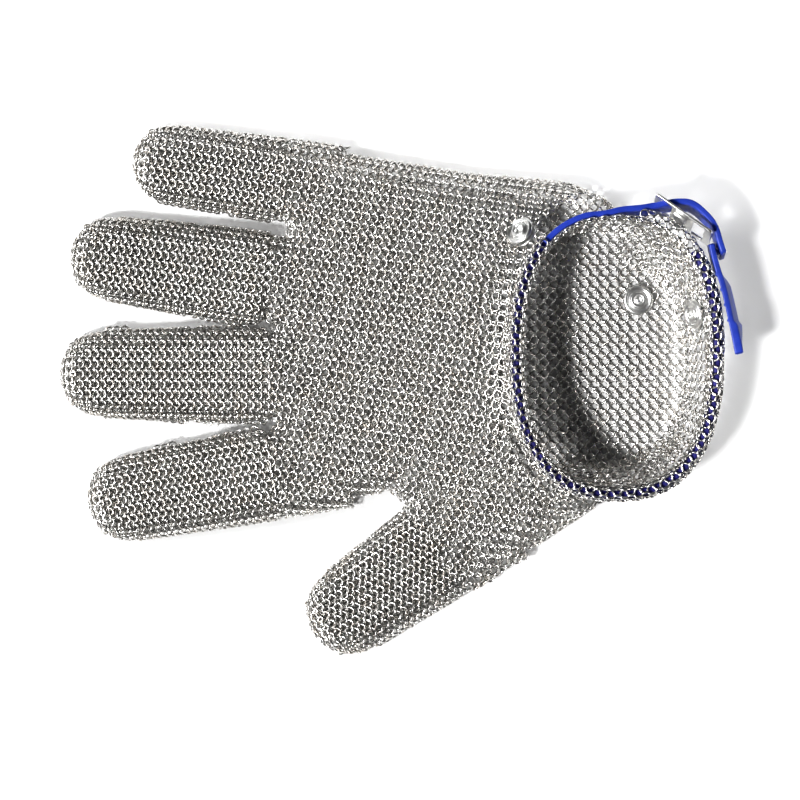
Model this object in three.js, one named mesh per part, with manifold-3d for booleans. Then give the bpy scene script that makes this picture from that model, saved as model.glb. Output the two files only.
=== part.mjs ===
// Ring-mesh glove with a strap cuff. Millimetres, +Z up.
// The glove lies flat: fingers towards -X, thumb towards -Y, cuff at +X with its mouth open upwards.
// The origin is the middle of the footprint, on the surface the glove lies on.
import * as THREE from 'three';
import { mergeVertices } from 'three/addons/utils/BufferGeometryUtils.js';
import Module from 'manifold-3d';

const wasm = await Module();
wasm.setup();

// Driving dimensions
const GAP = 0.3;            // clearance between neighbouring solids
const WALL = 2.0;           // thickness of one layer of ring mesh
const FINGER_HEIGHT = 11;   // outside height of a finger tube
const HINGE_HEIGHT = FINGER_HEIGHT / 2;
const KNUCKLE_LIMIT = 70;   // largest bend at the root of a finger, degrees
const MIDDLE_LIMIT = 80;    // largest bend at the middle of a finger, degrees
const HINGE_GAP = 0.5;      // half the slit between two segments, below the hinge
const ARC_STEPS = 6;        // facets in each rounded side of a section
const SEAM_HEIGHT = 6;      // where the palm panel meets the back panel
const CUFF_START = 47;      // where the back panel meets the cuff wall

// Each digit: centre line from inside the hand to the tip, widths, and how far its two hinges are from the tip
const DIGITS = [
  { name: 'little', root: [-24, 75.9], tip: [-100.7, 87.2], rootWidth: 33, tipWidth: 29.5, knuckle: 50, middle: 26 },
  { name: 'ring', root: [-24, 37.8], tip: [-124.1, 51.6], rootWidth: 36.5, tipWidth: 31.5, knuckle: 62, middle: 32 },
  { name: 'middle', root: [-24, 5.4], tip: [-128.2, 6.2], rootWidth: 37, tipWidth: 32.5, knuckle: 65, middle: 34 },
  { name: 'index', root: [-20, -26.4], tip: [-117.6, -43.5], rootWidth: 36, tipWidth: 32.5, knuckle: 62, middle: 32 },
  { name: 'thumb', root: [34.6, -46], tip: [-32.4, -92.4], rootWidth: 41, tipWidth: 33.5, knuckle: 48, middle: 25 },
];

// Outline of the hand between the finger roots and the cuff: place along X, lowest and highest Y, height
const HAND = [
  { x: -50, low: -47, high: 94, height: 12 },
  { x: -25, low: -43, high: 89.5, height: 14 },
  { x: 0, low: -41, high: 85.5, height: 17 },
  { x: 22, low: -66, high: 82, height: 18 },
  { x: 42, low: -64, high: 79.6, height: 19 },
  { x: 60, low: -52.5, high: 78.6, height: 20 },
  { x: 76, low: -41.5, high: 70.5, height: 20 },
];

// The cuff stands up as an oval cup, square-shouldered where roundness is above 2
const CUFF = { x: 80, y: 13.5, halfLength: 40.3, halfWidth: 55 };
const CUFF_FLOOR = { x: 71, y: 13.5, halfLength: 36, halfWidth: 47 };
const ROUNDNESS = 2.4;
const RIM_LEFT = 38;        // height of the rim at its -X side
const RIM_RIGHT = 29;       // height of the rim at its +X side
const HEM_HEIGHT = 12;      // folded band round the rim that the strap runs in
const HEM_WIDTH = 6;
const HEM_SKIN = 1.4;       // thickness of the hem round the strap
const HEM_START = 40;       // the hem runs clockwise from here, in degrees from +X
const HEM_END = -230;
const STRAP_LEAVES = -257;   // where the strap turns away from the rim; from HEM_END to here it lies bare

// Strap and buckle
const STRAP_WIDTH = 8.6;
const STRAP_THICKNESS = 2.2;
const PLATE = { from: [94.5, 72], to: [115.2, 57], height: 15, thickness: 0.9 };
const BUCKLE_LEAN = 0.28;     // everything at the buckle leans in under the rim, by this much for each unit of height
const SLOT_WIDTH = 5;
const SLOT_AT = [0.2, 0.78];  // the two slots, as shares of the plate's length
const STRAP_EXIT = [[76, 65.2], [82, 66.6], [89, 67.4], [95, 68.4]];
const STRAP_ARCH = [
  [95.9, 68.7], [101, 69.6], [106.2, 69.7], [109.2, 68.6], [112, 66.4], [115.4, 62.8],
  [117.3, 59.2], [118.6, 54.8], [120, 50.8],
];
const STRAP_TAIL = [
  [115.4, 54.2], [116.1, 50.5], [117.6, 44.7], [119.2, 39.6], [121, 32.5], [122.6, 25.2], [124.2, 18], [125.2, 13.2],
];
const TAIL_BEND = 8;          // the tail bends outwards this far from its start
const TAIL_SLIT = 0.75;       // half the slit there, so that it can bend by 60 degrees
const TAIL_LEAN = 2.8;        // the tail's lower edge leans out by up to this much
const TOOTH_PITCH = 5.9;
const PADDLE_LENGTH = 13;
const PADDLE_THICKNESS = 3.2;

// Snap buttons
const SNAP_RADIUS = 5.65;
const SNAP_CAP = 1.7;
const SNAP_WASHER = 0.9;
const SNAP_WEB = 0.8;       // mesh held between cap and washer
const SNAP_POST = 1.9;
const SNAPS = [
  { name: 'palm_snap', at: [90, 34, 2], out: [0, 0, 1] },
  { name: 'side_snap', at: [110.6, 28.5, 11.9], out: [-0.88, -0.15, 0.45] },
  { name: 'back_snap', at: [44.8, 58.9, 21.3], out: [-0.57, 0.42, 0.7] },
];

const STEEL_MESH = new THREE.MeshStandardMaterial({ color: 0xb9b8b2, roughness: 0.35, metalness: 1 });
const STEEL_PLATE = new THREE.MeshStandardMaterial({ color: 0xcfd0d2, roughness: 0.2, metalness: 1 });
const BLUE_STRAP = new THREE.MeshStandardMaterial({ color: 0x2238c8, roughness: 0.4, metalness: 0 });

const radians = THREE.MathUtils.degToRad;
const lerp = THREE.MathUtils.lerp;

// ---- solids ----

function toSolid(geometry) {
  const bare = new THREE.BufferGeometry();
  bare.setAttribute('position', geometry.getAttribute('position').clone());
  if (geometry.index) bare.setIndex(geometry.index.clone());
  const merged = mergeVertices(bare, 1e-4);
  return new wasm.Manifold(new wasm.Mesh({
    numProp: 3,
    vertProperties: new Float32Array(merged.getAttribute('position').array),
    triVerts: new Uint32Array(merged.index.array),
  }));
}

function toGeometry(solid) {
  const mesh = solid.getMesh();
  const geometry = new THREE.BufferGeometry();
  geometry.setAttribute('position', new THREE.BufferAttribute(new Float32Array(mesh.vertProperties), 3));
  geometry.setIndex(new THREE.BufferAttribute(new Uint32Array(mesh.triVerts), 1));
  geometry.computeVertexNormals();
  return geometry;
}

// A closed solid through a row of closed sections, each a list of Vector3 of the same length
function loft(sections) {
  const count = sections[0].length;
  const points = sections.flat();
  const first = points.length;
  const last = first + 1;
  const centre = (section) => section.reduce((sum, p) => sum.add(p), new THREE.Vector3()).divideScalar(count);
  points.push(centre(sections[0]), centre(sections[sections.length - 1]));
  const index = [];
  for (let row = 0; row < sections.length - 1; row += 1) {
    for (let i = 0; i < count; i += 1) {
      const a = row * count + i;
      const b = row * count + ((i + 1) % count);
      index.push(a, b, b + count, a, b + count, a + count);
    }
  }
  const lastRow = (sections.length - 1) * count;
  for (let i = 0; i < count; i += 1) {
    const next = (i + 1) % count;
    index.push(first, next, i, last, lastRow + i, lastRow + next);
  }
  const signedVolume = index.reduce((sum, _, i) => {
    if (i % 3) return sum;
    const [a, b, c] = [points[index[i]], points[index[i + 1]], points[index[i + 2]]];
    return sum + a.dot(new THREE.Vector3().crossVectors(b, c));
  }, 0);
  if (signedVolume < 0) index.reverse();
  const geometry = new THREE.BufferGeometry();
  geometry.setAttribute('position', new THREE.Float32BufferAttribute(points.flatMap((p) => p.toArray()), 3));
  geometry.setIndex(index);
  return toSolid(geometry);
}

// A flat outline in (along, up), extruded both ways across a direction in plan
function slab(outline, origin, direction, halfWidth) {
  const shape = new THREE.Shape(outline.map(([u, v]) => new THREE.Vector2(u, v)));
  const geometry = new THREE.ExtrudeGeometry(shape, { depth: 2 * halfWidth, bevelEnabled: false });
  const along = new THREE.Vector3(direction[0], direction[1], 0).normalize();
  const up = new THREE.Vector3(0, 0, 1);
  const across = new THREE.Vector3().crossVectors(along, up);
  geometry.translate(0, 0, -halfWidth);
  geometry.applyMatrix4(new THREE.Matrix4().makeBasis(along, up, across));
  geometry.translate(origin[0], origin[1], origin[2]);
  return toSolid(geometry);
}

function box(low, high) {
  const size = high.map((value, i) => value - low[i]);
  const geometry = new THREE.BoxGeometry(...size);
  geometry.translate(...low.map((value, i) => value + size[i] / 2));
  return toSolid(geometry);
}

// A cylinder from a point along a direction
function disc(at, out, radius, from, to, sides = 24) {
  const geometry = new THREE.CylinderGeometry(radius, radius, to - from, sides);
  geometry.translate(0, (from + to) / 2, 0);
  placeAlong(geometry, at, out);
  return toSolid(geometry);
}

function placeAlong(geometry, at, out) {
  const normal = new THREE.Vector3(...out).normalize();
  const turn = new THREE.Quaternion().setFromUnitVectors(new THREE.Vector3(0, 1, 0), normal);
  geometry.applyQuaternion(turn);
  geometry.translate(...at);
}

// ---- glove body ----

// Section of a limp tube lying flat: round sides, flat top and bottom
function tubeSection(centre, across, halfWidth, low, high) {
  const radius = Math.min((high - low) / 2, halfWidth * 0.95);
  const squash = (high - low) / 2 / radius;
  const points = [];
  for (const side of [1, -1]) {
    for (let i = 0; i <= ARC_STEPS; i += 1) {
      const angle = side * (-Math.PI / 2 + (Math.PI * i) / ARC_STEPS);
      const u = side * (halfWidth - radius + radius * Math.cos(angle));
      const v = (low + high) / 2 + squash * radius * Math.sin(angle);
      points.push(new THREE.Vector3(centre[0] + across[0] * u, centre[1] + across[1] * u, v));
    }
  }
  return points;
}

function digitLine(digit) {
  const root = new THREE.Vector2(...digit.root);
  const tip = new THREE.Vector2(...digit.tip);
  const direction = tip.clone().sub(root).normalize();
  return { tip, direction, length: tip.distanceTo(root) };
}

// Solid of a digit; inset 0 gives its outside and WALL gives its hollow
function digitSolid(digit, inset) {
  const { tip, direction, length } = digitLine(digit);
  const across = [-direction.y, direction.x];
  const tipRadius = digit.tipWidth / 2;
  const fromTip = [0.15, 1.2, 3.2, 6.5, 11, tipRadius, length * 0.5, length - inset];
  const sections = fromTip.map((s) => {
    const round = s < tipRadius ? Math.sqrt(1 - (1 - s / tipRadius) ** 2) : 1;
    const width = lerp(digit.tipWidth, digit.rootWidth, THREE.MathUtils.clamp(s / 60, 0, 1));
    const nearTip = s < 9 ? Math.sqrt(1 - (1 - s / 9) ** 2) : 1;
    const halfHeight = (FINGER_HEIGHT / 2 - inset) * Math.max(nearTip, 0.3);
    const halfWidth = Math.max(width / 2 - inset, 1) * round;
    const along = s + (inset * (length - s)) / length;
    const centre = [tip.x - direction.x * along, tip.y - direction.y * along];
    return tubeSection(centre, across, halfWidth, HINGE_HEIGHT - halfHeight, HINGE_HEIGHT + halfHeight);
  });
  return loft(sections);
}

function handSolid(inset) {
  const sections = HAND.map((station) => {
    const middle = (station.low + station.high) / 2;
    const halfWidth = (station.high - station.low) / 2 - inset;
    const radius = Math.min(station.height / 2, 14);
    const squash = (station.height - 2 * inset) / 2 / Math.max(radius - inset, 1);
    const points = [];
    for (const side of [1, -1]) {
      for (let i = 0; i <= ARC_STEPS; i += 1) {
        const angle = side * (-Math.PI / 2 + (Math.PI * i) / ARC_STEPS);
        const reach = radius - inset;
        const u = side * (halfWidth - reach + reach * Math.cos(angle));
        const v = station.height / 2 + squash * reach * Math.sin(angle);
        points.push(new THREE.Vector3(station.x, middle + u, v));
      }
    }
    return points;
  });
  return loft(sections);
}

// Point of an oval at an angle in degrees, moved in by inset
function ovalPoint(shape, degrees, inset) {
  const c = Math.cos(radians(degrees));
  const s = Math.sin(radians(degrees));
  const power = 2 / ROUNDNESS;
  return [
    shape.x + (shape.halfLength - inset) * Math.sign(c) * Math.abs(c) ** power,
    shape.y + (shape.halfWidth - inset) * Math.sign(s) * Math.abs(s) ** power,
  ];
}

function oval(shape, z, inset, steps = 36) {
  return Array.from({ length: steps }, (_, i) => {
    const [x, y] = ovalPoint(shape, (360 * i) / steps, inset);
    return new THREE.Vector3(x, y, z);
  });
}

// Oval between the cuff's floor (0) and its rim (1)
function mixOval(t) {
  const mixed = {};
  for (const key of Object.keys(CUFF)) mixed[key] = lerp(CUFF_FLOOR[key], CUFF[key], t);
  return mixed;
}

// Widening of the cup with height: share of the way from the floor oval to the rim oval
const CUP_LEVELS = [[0, 0], [7, 0.3], [16, 0.65], [29, 1], [46, 1]];
function cup(inset) {
  const levels = CUP_LEVELS.map(([height, share]) => {
    const floor = inset * (height === 0 ? 1 : 0);
    return oval(mixOval(share), height + floor, inset);
  });
  return loft(levels);
}

// Collar: the back of the hand rises to the rim like the side of a cone, no wider than the hand
const COLLAR_REACH = 16;
const COLLAR_LOW = 12;
const COLLAR_HIGH = 28;
function collar(inset) {
  const drop = inset * Math.SQRT2;
  const cone = loft([
    oval(CUFF, COLLAR_LOW - drop, -COLLAR_REACH), oval(CUFF, COLLAR_HIGH - drop, 0),
  ]);
  const outline = [...HAND.map(({ x, low }) => [x, low + inset]), ...HAND.map(({ x, high }) => [x, high - inset]).reverse()];
  const shape = new THREE.Shape(outline.map(([x, y]) => new THREE.Vector2(x, y)));
  const geometry = new THREE.ExtrudeGeometry(shape, { depth: 60, bevelEnabled: false });
  return cone.intersect(toSolid(geometry));
}

function rimHeight(x) {
  return lerp(RIM_LEFT, RIM_RIGHT, (x - (CUFF.x - CUFF.halfLength)) / (2 * CUFF.halfLength));
}

// Everything above the tilted plane of the rim, lowered by drop
function aboveRim(drop) {
  const from = -60;
  const to = 160;
  const high = 90;
  const outline = [[from, rimHeight(from) - drop], [to, rimHeight(to) - drop], [to, high], [from, high]];
  return slab(outline, [0, 0, 0], [1, 0], 130);
}

// A band that follows the rim, between two insets and two depths below the rim plane
function rimBand(fromDegrees, toDegrees, insets, depths, steps = 44) {
  const sections = Array.from({ length: steps + 1 }, (_, i) => {
    const degrees = lerp(fromDegrees, toDegrees, i / steps);
    const corners = [[0, 0], [1, 0], [1, 1], [0, 1]];
    return corners.map(([side, level]) => {
      const [x, y] = ovalPoint(CUFF, degrees, insets[side]);
      return new THREE.Vector3(x, y, rimHeight(x) - depths[level]);
    });
  });
  return loft(sections);
}

let outside = handSolid(0).add(cup(0)).add(collar(0));
let inside = handSolid(WALL).add(cup(WALL)).add(collar(WALL));
for (const digit of DIGITS) {
  outside = outside.add(digitSolid(digit, 0));
  inside = inside.add(digitSolid(digit, WALL));
}
const hemRoom = rimBand(-5, 185, [-3, HEM_WIDTH + 2], [-20, HEM_HEIGHT + GAP])
  .add(rimBand(175, 365, [-3, HEM_WIDTH + 2], [-20, HEM_HEIGHT + GAP]));
const gloveShell = outside.subtract(aboveRim(0)).subtract(hemRoom).subtract(inside);

// ---- digits cut at their hinges ----

// Solid on the tip side of a hinge (side 1) or on its root side (side -1), with the room that the bend needs
function beyondHinge(digit, fromTip, limit, side) {
  const { tip, direction } = digitLine(digit);
  const origin = [tip.x - direction.x * fromTip, tip.y - direction.y * fromTip, 0];
  const slope = Math.tan(radians(limit / 2));
  const reach = side * 110;
  const top = HINGE_HEIGHT + 40;
  const edge = side * HINGE_GAP;
  const bevel = side * (HINGE_GAP + 40 * slope);
  return slab(
    [[edge, -5], [edge, HINGE_HEIGHT], [bevel, top], [reach, top], [reach, -5]],
    origin, [direction.x, direction.y], digit.rootWidth / 2 + 1.5,
  );
}

const digitPieces = [];
let handShell = gloveShell;
for (const digit of DIGITS) {
  const tipSide = beyondHinge(digit, digit.knuckle, KNUCKLE_LIMIT, 1);
  const wholeDigit = digitSolid(digit, 0).subtract(digitSolid(digit, WALL)).intersect(tipSide);
  const base = wholeDigit.intersect(beyondHinge(digit, digit.middle, MIDDLE_LIMIT, -1));
  const end = wholeDigit.intersect(beyondHinge(digit, digit.middle, MIDDLE_LIMIT, 1));
  digitPieces.push([`${digit.name}_base`, base], [`${digit.name}_tip`, end]);
  const { tip, direction } = digitLine(digit);
  const origin = [tip.x - direction.x * digit.knuckle, tip.y - direction.y * digit.knuckle, 0];
  const slope = Math.tan(radians(KNUCKLE_LIMIT / 2));
  const cut = slab(
    [[-HINGE_GAP, -5], [-HINGE_GAP, HINGE_HEIGHT], [-HINGE_GAP - 9 * slope, HINGE_HEIGHT + 9],
      [-HINGE_GAP - 9 * slope, 60], [110, 60], [110, -5]],
    origin, [direction.x, direction.y], digit.rootWidth / 2 + 0.6,
  );
  handShell = handShell.subtract(cut);
}

// ---- panels of the hand ----

const far = 200;
const lowerHalf = box([-far, -far, -1], [far, far, SEAM_HEIGHT]);
const upperHalf = box([-far, -far, SEAM_HEIGHT + GAP], [far, far, far]);
const handSide = box([-far, -far, -1], [CUFF_START, far, far]);
const cuffSide = box([CUFF_START + GAP, -far, -1], [far, far, far]);

// Cuts the seat of a snap button: the mesh is left as a thin web between the cap and the washer
function seatSnap(panel, snap) {
  const reach = 9;
  return panel
    .subtract(disc(snap.at, snap.out, SNAP_RADIUS + GAP, 0, reach))
    .subtract(disc(snap.at, snap.out, SNAP_RADIUS + GAP, -reach, -SNAP_WEB))
    .subtract(disc(snap.at, snap.out, SNAP_POST + GAP, -reach, reach));
}

// The largest body of a solid, without the slivers that the cuts leave between two fingers
function mainBody(solid) {
  return solid.decompose().reduce((best, body) => (body.volume() > best.volume() ? body : best));
}

const [palmSnap, sideSnap, backSnap] = SNAPS;
const palmPanel = mainBody(seatSnap(seatSnap(handShell.intersect(lowerHalf), palmSnap), sideSnap));
const backPanel = mainBody(seatSnap(handShell.intersect(upperHalf).intersect(handSide), backSnap));
const cuffWall = mainBody(seatSnap(handShell.intersect(upperHalf).intersect(cuffSide), sideSnap));

const hemOutside = rimBand(HEM_START, HEM_END, [0, HEM_WIDTH], [0, HEM_HEIGHT]);
const hemInsets = [HEM_SKIN, HEM_WIDTH - HEM_SKIN];
const hemDepths = [HEM_SKIN, HEM_HEIGHT - HEM_SKIN];
const hemInnerSkin = rimBand(HEM_START - 2, HEM_END + 362, [HEM_WIDTH - HEM_SKIN, HEM_WIDTH], [0, HEM_HEIGHT], 16);
const cuffHem = hemOutside.subtract(rimBand(HEM_START + 4, HEM_END - 4, hemInsets, hemDepths)).add(hemInnerSkin);

// ---- strap and buckle ----

const STRAP_DROP = (HEM_HEIGHT - STRAP_WIDTH) / 2;

// A flat band standing on edge along a route in plan, with its thickness to the left and right of the route.
// shifts holds how far its lower edge is moved in x and y at each point of the route.
function strapBand(route, left = STRAP_THICKNESS / 2, right = STRAP_THICKNESS / 2, shifts = route.map(() => [0, 0])) {
  const sections = route.map(([x, y], i) => {
    const before = route[Math.max(i - 1, 0)];
    const after = route[Math.min(i + 1, route.length - 1)];
    const along = new THREE.Vector2(after[0] - before[0], after[1] - before[1]).normalize();
    const top = rimHeight(x) - STRAP_DROP;
    const bottom = top - STRAP_WIDTH;
    const leftPoint = [x - along.y * left, y + along.x * left];
    const rightPoint = [x + along.y * right, y - along.x * right];
    const [shiftX, shiftY] = shifts[i];
    return [
      new THREE.Vector3(...leftPoint, top), new THREE.Vector3(...rightPoint, top),
      new THREE.Vector3(rightPoint[0] + shiftX, rightPoint[1] + shiftY, bottom),
      new THREE.Vector3(leftPoint[0] + shiftX, leftPoint[1] + shiftY, bottom),
    ];
  });
  return loft(sections);
}

const HEM_STEPS = 44;
const hemRoute = Array.from({ length: HEM_STEPS + 1 }, (_, i) => (
  ovalPoint(CUFF, lerp(HEM_START + 3, STRAP_LEAVES, i / HEM_STEPS), HEM_WIDTH / 2)
));
const bandRoute = [...hemRoute, ...STRAP_EXIT];
const bandShifts = bandRoute.map((_, i) => {
  const share = Math.max(0, i - hemRoute.length) / (STRAP_EXIT.length - 1);
  return [0, -BUCKLE_LEAN * STRAP_WIDTH * share];
});
const strapInHem = strapBand(bandRoute, STRAP_THICKNESS / 2, STRAP_THICKNESS / 2, bandShifts);

// Tail: a smooth strap with small teeth on the side towards the glove, and a thicker end to pull on
const tailCurve = new THREE.CatmullRomCurve3(STRAP_TAIL.map(([x, y]) => new THREE.Vector3(x, y, 0)));
const tailLength = tailCurve.getLength();
function tailPiece(from, to, inner, outer) {
  const steps = Math.max(1, Math.round((to - from) / 4));
  const places = Array.from({ length: steps + 1 }, (_, i) => lerp(from, to, i / steps));
  const route = places.map((place) => {
    const point = tailCurve.getPointAt(THREE.MathUtils.clamp(place / tailLength, 0, 1));
    return [point.x, point.y];
  });
  const shifts = places.map((place) => {
    const grown = THREE.MathUtils.smoothstep(place, TAIL_BEND + 1, TAIL_BEND + 9);
    const gone = THREE.MathUtils.smoothstep(place, tailLength - PADDLE_LENGTH, tailLength);
    return [TAIL_LEAN * grown * (1 - 0.7 * gone), 0];
  });
  return strapBand(route, outer, inner, shifts);
}
const half = STRAP_THICKNESS / 2;
const tailRoot = tailPiece(0, TAIL_BEND - TAIL_SLIT, half, half);
let strapTail = tailPiece(TAIL_BEND + TAIL_SLIT, tailLength, half, half);
strapTail = strapTail.add(tailPiece(tailLength - PADDLE_LENGTH, tailLength, half, PADDLE_THICKNESS - half));
for (let s = TAIL_BEND + TOOTH_PITCH / 2; s < tailLength - PADDLE_LENGTH; s += TOOTH_PITCH) {
  strapTail = strapTail.add(tailPiece(s, s + 1, half + 0.5, 0.5));
}

// Buckle plate: a thin plate on edge with two slots for the strap
const plateRun = new THREE.Vector2(PLATE.to[0] - PLATE.from[0], PLATE.to[1] - PLATE.from[1]);
const plateLength = plateRun.length();
const plateDirection = plateRun.clone().normalize();
const plateTop = rimHeight((PLATE.from[0] + PLATE.to[0]) / 2) + 1.2;
const plateOutline = [[0, 0], [plateLength, 0], [plateLength, -PLATE.height], [0, -PLATE.height]];
let bucklePlate = slab(plateOutline, [...PLATE.from, plateTop], plateDirection.toArray(), PLATE.thickness / 2);
for (const share of SLOT_AT) {
  const middle = plateLength * share;
  const [low, high] = [-PLATE.height + 1.6, -1.6];
  const slot = [
    [middle - SLOT_WIDTH / 2, low], [middle + SLOT_WIDTH / 2, low],
    [middle + SLOT_WIDTH / 2, high], [middle - SLOT_WIDTH / 2, high],
  ];
  bucklePlate = bucklePlate.subtract(slab(slot, [...PLATE.from, plateTop], plateDirection.toArray(), 3));
}

// Lug on the inner face of the plate, bent up to catch the rings of the rim
const plateInward = [plateDirection.y, -plateDirection.x];
const lugOffset = PLATE.thickness / 2 + GAP;
const lugOrigin = [
  PLATE.from[0] + plateRun.x * 0.46 + plateInward[0] * lugOffset,
  PLATE.from[1] + plateRun.y * 0.46 + plateInward[1] * lugOffset,
  plateTop - 3,
];
const lugProfile = [[0, 0], [0.9, 0], [0.9, -5], [2.6, -5], [2.6, -3], [3.4, -3], [3.4, -6], [0, -6]];
const buckleLug = slab(lugProfile, lugOrigin, plateInward, 2.5);

// Stud that pins the end of the strap's arch
const studEnd = STRAP_ARCH.slice(-2);
const studAlong = new THREE.Vector2(studEnd[1][0] - studEnd[0][0], studEnd[1][1] - studEnd[0][1]).normalize();
const studOut = [-studAlong.y, studAlong.x, 0];
const studMiddle = [(studEnd[0][0] + studEnd[1][0]) / 2, (studEnd[0][1] + studEnd[1][1]) / 2];
const studAt = [...studMiddle, rimHeight(studMiddle[0]) - HEM_HEIGHT / 2];
const strapArch = strapBand(STRAP_ARCH).subtract(disc(studAt, studOut, 1.1, -5, 5, 16));
const strapStud = disc(studAt, studOut, 0.8, -half - 0.5, half + 0.5, 16)
  .add(disc(studAt, studOut, 1.6, half + GAP, half + GAP + 0.5, 16))
  .add(disc(studAt, studOut, 1.6, -half - GAP - 0.5, -half - GAP, 16));

// ---- snap buttons ----

// Cap: a domed disc with a ring groove and a dimple in the middle; profile as radius and height
function snapCap(snap) {
  const profile = [
    [0, GAP], [SNAP_RADIUS, GAP], [SNAP_RADIUS, GAP + 0.6], [4.9, GAP + 1.2], [4.2, GAP + 1.2], [3.8, GAP + 0.8],
    [3.2, GAP + 0.8], [2.8, GAP + SNAP_CAP], [1.7, GAP + SNAP_CAP], [1.5, GAP + 0.7], [0, GAP + 0.7],
  ];
  const geometry = new THREE.LatheGeometry(profile.map(([r, h]) => new THREE.Vector2(r, h)), 24);
  placeAlong(geometry, snap.at, snap.out);
  return toSolid(geometry);
}

const WASHER_TOP = -SNAP_WEB - GAP;
const snapWasher = (snap) => disc(snap.at, snap.out, SNAP_RADIUS, WASHER_TOP - SNAP_WASHER, WASHER_TOP)
  .subtract(disc(snap.at, snap.out, SNAP_POST, -9, 9, 16));
const snapPost = (snap) => disc(snap.at, snap.out, SNAP_POST - GAP, WASHER_TOP - SNAP_WASHER, 0, 16);

// ---- the glove ----

const group = new THREE.Group();
function addPart(name, solid, material, lean = new THREE.Matrix4()) {
  const geometry = toGeometry(solid);
  geometry.applyMatrix4(lean);
  geometry.computeVertexNormals();
  const mesh = new THREE.Mesh(geometry, material.clone());
  mesh.name = name;
  group.add(mesh);
}

// Moves a point in y by how far it is above the strap's upper edge, which rises and falls with the rim
const edgeAtZero = rimHeight(0) - STRAP_DROP;
const edgeSlope = rimHeight(1) - rimHeight(0);
const leanIn = new THREE.Matrix4().set(
  1, 0, 0, 0,
  -BUCKLE_LEAN * edgeSlope, 1, BUCKLE_LEAN, -BUCKLE_LEAN * edgeAtZero,
  0, 0, 1, 0,
  0, 0, 0, 1,
);

addPart('palm_panel', palmPanel, STEEL_MESH);
addPart('back_panel', backPanel, STEEL_MESH);
addPart('cuff_wall', cuffWall, STEEL_MESH);
addPart('cuff_hem', cuffHem, STEEL_MESH);
for (const [name, solid] of digitPieces) addPart(name, solid, STEEL_MESH);
addPart('strap_band', strapInHem, BLUE_STRAP);
addPart('strap_arch', strapArch, BLUE_STRAP, leanIn);
addPart('strap_tail_root', tailRoot, BLUE_STRAP);
addPart('strap_tail', strapTail, BLUE_STRAP);
addPart('strap_stud', strapStud, STEEL_PLATE, leanIn);
addPart('buckle_plate', bucklePlate, STEEL_PLATE, leanIn);
addPart('buckle_lug', buckleLug, STEEL_PLATE, leanIn);
for (const snap of SNAPS) {
  addPart(`${snap.name}_cap`, snapCap(snap), STEEL_PLATE);
  addPart(`${snap.name}_washer`, snapWasher(snap), STEEL_PLATE);
  addPart(`${snap.name}_post`, snapPost(snap), STEEL_PLATE);
}

export default group;
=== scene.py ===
"""Looks of the ring-mesh glove round the CAD frame: steel rings, a blue strap, a buckle plate, snap buttons.

Lengths are in millimetres in the script's own sums and become metres when a mesh is made.
"""
import math

import bpy
import numpy as np
from mathutils.kdtree import KDTree
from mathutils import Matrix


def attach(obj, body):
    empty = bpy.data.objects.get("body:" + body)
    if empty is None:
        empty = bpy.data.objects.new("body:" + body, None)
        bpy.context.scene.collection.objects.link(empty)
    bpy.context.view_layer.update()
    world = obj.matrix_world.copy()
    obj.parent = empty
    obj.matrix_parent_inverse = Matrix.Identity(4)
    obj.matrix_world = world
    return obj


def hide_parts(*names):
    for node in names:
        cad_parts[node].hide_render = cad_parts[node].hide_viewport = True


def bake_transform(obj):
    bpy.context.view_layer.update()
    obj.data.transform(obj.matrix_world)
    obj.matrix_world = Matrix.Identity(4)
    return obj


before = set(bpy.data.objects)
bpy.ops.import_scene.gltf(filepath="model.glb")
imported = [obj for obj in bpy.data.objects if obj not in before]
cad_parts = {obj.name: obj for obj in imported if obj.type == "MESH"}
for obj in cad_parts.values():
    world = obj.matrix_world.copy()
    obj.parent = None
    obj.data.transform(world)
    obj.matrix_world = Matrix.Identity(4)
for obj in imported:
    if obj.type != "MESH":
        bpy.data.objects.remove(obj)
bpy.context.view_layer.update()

MM = 0.001

# ---- driving dimensions, as in the CAD ----

# "root" and "tip" are the ends of a digit's centre line, and "widths" its widths at the root and the tip.
# "cut" is where its own sheet of rings ends, "knuckle" and "middle" are its hinges, and "knuckle_zone" is
# where its root blends into the hand: all are distances back from the tip.
DIGITS = [
    {"name": "little", "root": (-24, 75.9), "tip": (-100.7, 87.2), "widths": (33, 29.5), "cut": 57,
     "knuckle": 50, "middle": 26, "knuckle_zone": (56, 43)},
    {"name": "ring", "root": (-24, 37.8), "tip": (-124.1, 51.6), "widths": (36.5, 31.5), "cut": 75,
     "knuckle": 62, "middle": 32, "knuckle_zone": (74, 51)},
    {"name": "middle", "root": (-24, 5.4), "tip": (-128.2, 6.2), "widths": (37, 32.5), "cut": 78,
     "knuckle": 65, "middle": 34, "knuckle_zone": (77, 54)},
    {"name": "index", "root": (-20, -26.4), "tip": (-117.6, -43.5), "widths": (36, 32.5), "cut": 71,
     "knuckle": 62, "middle": 32, "knuckle_zone": (70, 53)},
    {"name": "thumb", "root": (34.6, -46), "tip": (-32.4, -92.4), "widths": (41, 33.5), "cut": 57,
     "knuckle": 48, "middle": 25, "knuckle_zone": (56, 40)},
]
TAPER_LENGTH = 60       # a digit widens over this length from its tip

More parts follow.
